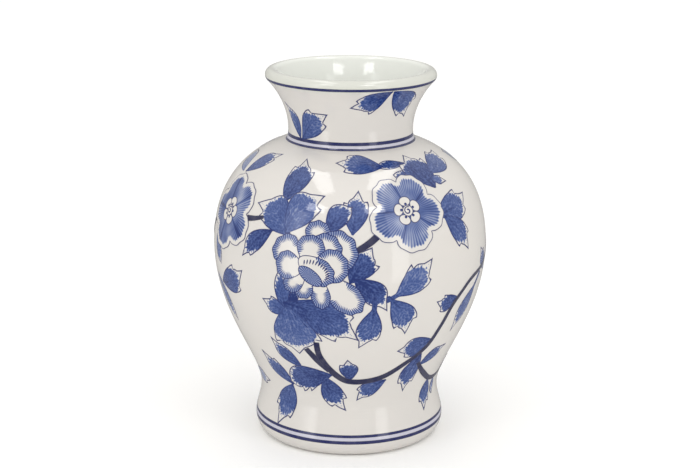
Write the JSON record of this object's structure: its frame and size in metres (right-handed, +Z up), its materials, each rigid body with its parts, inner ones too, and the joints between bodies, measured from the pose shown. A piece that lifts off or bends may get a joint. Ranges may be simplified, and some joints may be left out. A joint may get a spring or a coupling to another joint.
{
  "type": "porcelain vase",
  "caption": "Footed baluster vase in white glazed porcelain with a flared neck, rolled lip and cobalt blue flower decoration; holds cut flowers or stands as an ornament.",
  "frame": {"origin": "centre of the plane that the foot ring rests on", "axes": "+Z up along the axis of revolution; the main flower spray faces -Y"},
  "size_m": [0.1474, 0.1474, 0.2],
  "materials": {
    "white_glaze": "clear gloss glaze over a warm white porcelain body",
    "foot_porcelain": "glazed outside, ground bare and fine matt on the resting face",
    "cobalt_line": "dark cobalt under clear gloss glaze",
    "cobalt_tint": "thin pale cobalt wash under clear gloss glaze"
  },
  "bodies": {
    "root": {"foot_ring": "foot_porcelain", "base_floor": "white_glaze", "lower_body": "white_glaze", "upper_body": "white_glaze", "neck": "white_glaze", "lip": "white_glaze", "rim_line": "cobalt_line", "neck_line_upper": "cobalt_line", "neck_line_lower": "cobalt_line", "foot_line_upper": "cobalt_line", "foot_line_lower": "cobalt_line", "neck_tint": "cobalt_tint", "foot_tint": "cobalt_tint"}
  },
  "joints": []
}
